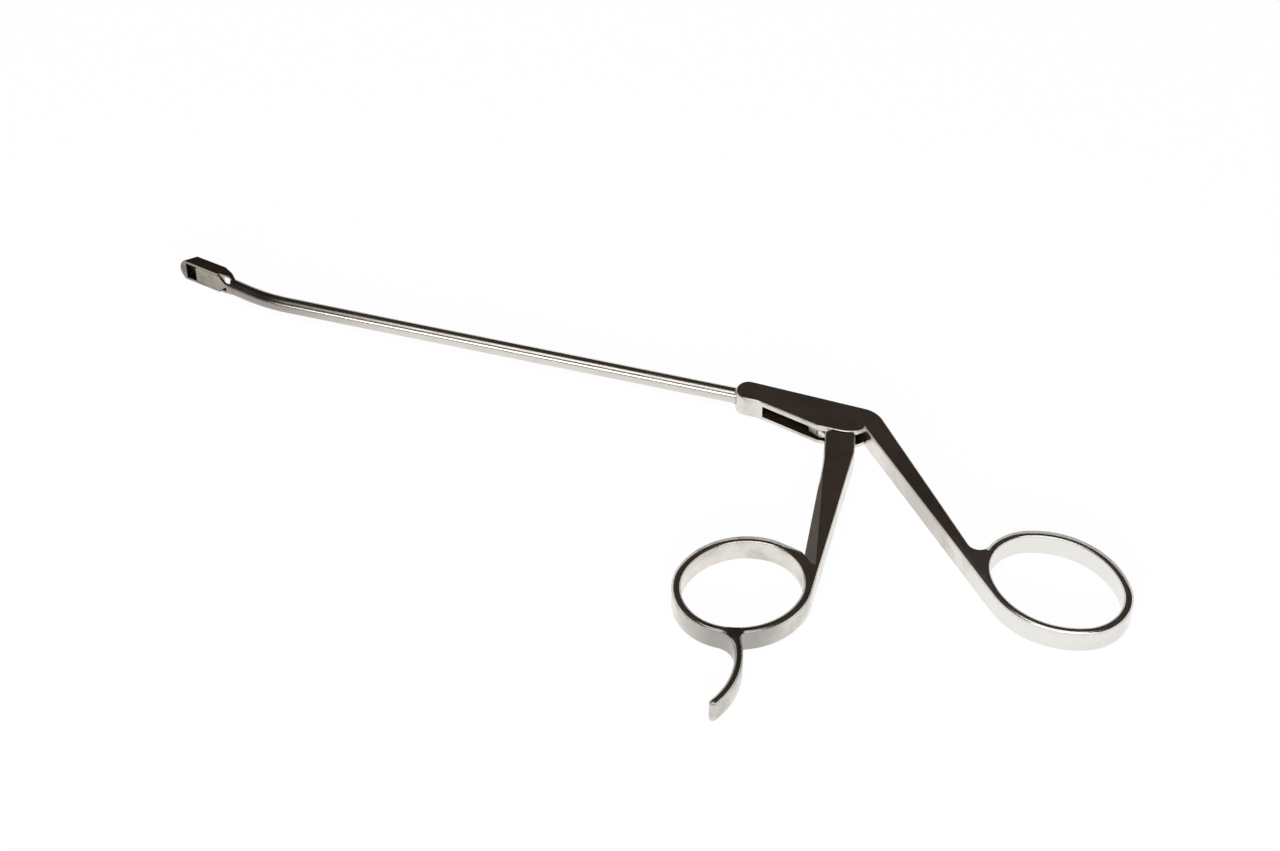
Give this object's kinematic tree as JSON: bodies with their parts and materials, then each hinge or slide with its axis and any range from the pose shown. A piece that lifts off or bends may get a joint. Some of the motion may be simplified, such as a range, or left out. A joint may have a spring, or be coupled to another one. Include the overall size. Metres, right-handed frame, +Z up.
{
  "type": "retrograde forceps",
  "caption": "Retrograde grasping and cutting forceps with a thin bent tubular shaft, a spade-shaped jaw and a scissor ring handle whose lever pulls a sliding punch back against the shaft end.",
  "frame": {"origin": "on the rest plane, straight under the lever pivot", "axes": "+X back along the straight part of the shaft to the hand, +Y to the back of the instrument, +Z up off the rest plane"},
  "size_m": [0.2257, 0.0949, 0.0055],
  "materials": {
    "satin_steel": "satin",
    "tube_steel": "fine polish",
    "jaw_steel": "fine polish",
    "punch_steel": "fine polish",
    "pin_steel": "polished",
    "rod_steel": "ground"
  },
  "bodies": {
    "handle": {"handle_body": "satin_steel", "shaft_tube": "tube_steel", "jaw_frame": "jaw_steel", "pivot_pin": "satin_steel"},
    "lever": {"finger_lever": "satin_steel", "lever_link_pin": "pin_steel"},
    "rod": {"drive_rod": "rod_steel", "rod_link_pin": "pin_steel"},
    "link": {"drive_link": "rod_steel"},
    "band": {"bend_band": "rod_steel"},
    "punch": {"front_rod": "rod_steel", "cutting_punch": "punch_steel"}
  },
  "joints": [
    {"name": "lever_pivot", "type": "hinge", "parent": "handle", "child": "lever", "pos_m": [0, 0, 0.00275], "axis": [0, 0, 1], "range_deg": [0, 22]},
    {"name": "rod_slide", "type": "slide", "parent": "handle", "child": "rod", "axis": [1, 0, 0], "range_m": [0, 0.00246]},
    {"name": "link_swing", "type": "hinge", "parent": "rod", "child": "link", "pos_m": [-0.0165, 0.0014, 0.00275], "axis": [0, 0, 1], "range_deg": [-7.6, 0]},
    {"name": "band_creep", "type": "hinge", "parent": "handle", "child": "band", "pos_m": [-0.1295, 0.0414, 0.00275], "axis": [0, 0, 1], "range_deg": [0, 3.6]},
    {"name": "punch_slide", "type": "slide", "parent": "handle", "child": "punch", "axis": [0.9659, -0.2588, 0], "range_m": [0, 0.00246]}
  ],
  "couplings": [
    {"joint": "rod_slide", "follows": "lever_pivot", "m_per_rad": 0.0063676},
    {"joint": "link_swing", "follows": "lever_pivot", "ratio": -0.34116},
    {"joint": "band_creep", "follows": "lever_pivot", "ratio": 0.15919},
    {"joint": "punch_slide", "follows": "lever_pivot", "m_per_rad": 0.0063676}
  ]
}
